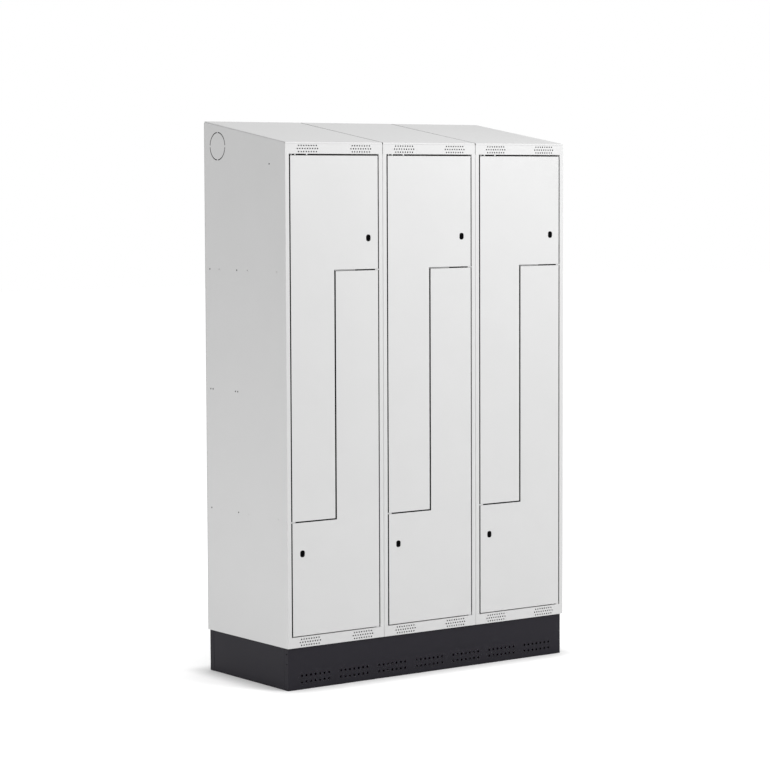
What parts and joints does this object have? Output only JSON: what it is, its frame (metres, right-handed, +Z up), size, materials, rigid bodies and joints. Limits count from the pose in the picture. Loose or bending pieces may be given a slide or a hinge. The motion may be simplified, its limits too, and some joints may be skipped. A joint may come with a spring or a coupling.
{
  "type": "z locker",
  "caption": "Steel locker of joined modules under a sloping roof on a vented plinth, each with two interlocking L-shaped doors that form a Z and turn on pivot pins.",
  "frame": {"origin": "on the floor, under the middle of the body's width and depth", "axes": "+Z up, -Y towards the doors, +X to the right of someone facing the doors"},
  "size_m": [1.1994, 0.5, 1.9175],
  "materials": {
    "side_paint": "light grey powder coat, satin",
    "back_paint": "light grey powder coat, satin",
    "roof_paint": "light grey powder coat, satin",
    "floor_paint": "light grey powder coat, satin",
    "fascia_paint": "light grey powder coat, satin",
    "partition_paint": "light grey powder coat, satin",
    "door_paint": "light grey powder coat, satin",
    "lock_cap_plastic": "black moulded plastic",
    "pivot_steel": "bright zinc plate",
    "rail_steel": "drawn steel tube, bright",
    "plinth_paint": "anthracite powder coat, satin"
  },
  "bodies": {
    "carcass": {"left_side_1": "side_paint", "right_side_1": "side_paint", "back_1": "back_paint", "roof_1": "roof_paint", "floor_1": "floor_paint", "top_fascia_1": "fascia_paint", "bottom_fascia_1": "fascia_paint", "z_partition_1": "partition_paint", "upper_door_top_pivot_1": "pivot_steel", "upper_door_bottom_pivot_1": "pivot_steel", "lower_door_top_pivot_1": "pivot_steel", "lower_door_bottom_pivot_1": "pivot_steel", "upper_coat_rail_1": "rail_steel", "lower_coat_rail_1": "rail_steel", "left_side_2": "side_paint", "right_side_2": "side_paint", "back_2": "back_paint", "roof_2": "roof_paint", "floor_2": "floor_paint", "top_fascia_2": "fascia_paint", "bottom_fascia_2": "fascia_paint", "z_partition_2": "partition_paint", "upper_door_top_pivot_2": "pivot_steel", "upper_door_bottom_pivot_2": "pivot_steel", "lower_door_top_pivot_2": "pivot_steel", "lower_door_bottom_pivot_2": "pivot_steel", "upper_coat_rail_2": "rail_steel", "lower_coat_rail_2": "rail_steel", "left_side_3": "side_paint", "right_side_3": "side_paint", "back_3": "back_paint", "roof_3": "roof_paint", "floor_3": "floor_paint", "top_fascia_3": "fascia_paint", "bottom_fascia_3": "fascia_paint", "z_partition_3": "partition_paint", "upper_door_top_pivot_3": "pivot_steel", "upper_door_bottom_pivot_3": "pivot_steel", "lower_door_top_pivot_3": "pivot_steel", "lower_door_bottom_pivot_3": "pivot_steel", "upper_coat_rail_3": "rail_steel", "lower_coat_rail_3": "rail_steel", "plinth_front": "plinth_paint", "plinth_back": "plinth_paint", "plinth_left": "plinth_paint", "plinth_right": "plinth_paint"},
    "upper_door_1": {"upper_door_1": "door_paint", "upper_lock_cap_1": "lock_cap_plastic"},
    "lower_door_1": {"lower_door_1": "door_paint", "lower_lock_cap_1": "lock_cap_plastic"},
    "upper_door_2": {"upper_door_2": "door_paint", "upper_lock_cap_2": "lock_cap_plastic"},
    "lower_door_2": {"lower_door_2": "door_paint", "lower_lock_cap_2": "lock_cap_plastic"},
    "upper_door_3": {"upper_door_3": "door_paint", "upper_lock_cap_3": "lock_cap_plastic"},
    "lower_door_3": {"lower_door_3": "door_paint", "lower_lock_cap_3": "lock_cap_plastic"}
  },
  "joints": [
    {"name": "upper_door_1_hinge", "type": "hinge", "parent": "carcass", "child": "upper_door_1", "pos_m": [-0.5616, -0.241, 0.9895], "axis": [0, 0, -1], "range_deg": [0, 95]},
    {"name": "lower_door_1_hinge", "type": "hinge", "parent": "carcass", "child": "lower_door_1", "pos_m": [-0.2384, -0.241, 0.9895], "axis": [0, 0, 1], "range_deg": [0, 95]},
    {"name": "upper_door_2_hinge", "type": "hinge", "parent": "carcass", "child": "upper_door_2", "pos_m": [-0.1616, -0.241, 0.9895], "axis": [0, 0, -1], "range_deg": [0, 95]},
    {"name": "lower_door_2_hinge", "type": "hinge", "parent": "carcass", "child": "lower_door_2", "pos_m": [0.1616, -0.241, 0.9895], "axis": [0, 0, 1], "range_deg": [0, 95]},
    {"name": "upper_door_3_hinge", "type": "hinge", "parent": "carcass", "child": "upper_door_3", "pos_m": [0.2384, -0.241, 0.9895], "axis": [0, 0, -1], "range_deg": [0, 95]},
    {"name": "lower_door_3_hinge", "type": "hinge", "parent": "carcass", "child": "lower_door_3", "pos_m": [0.5616, -0.241, 0.9895], "axis": [0, 0, 1], "range_deg": [0, 95]}
  ]
}
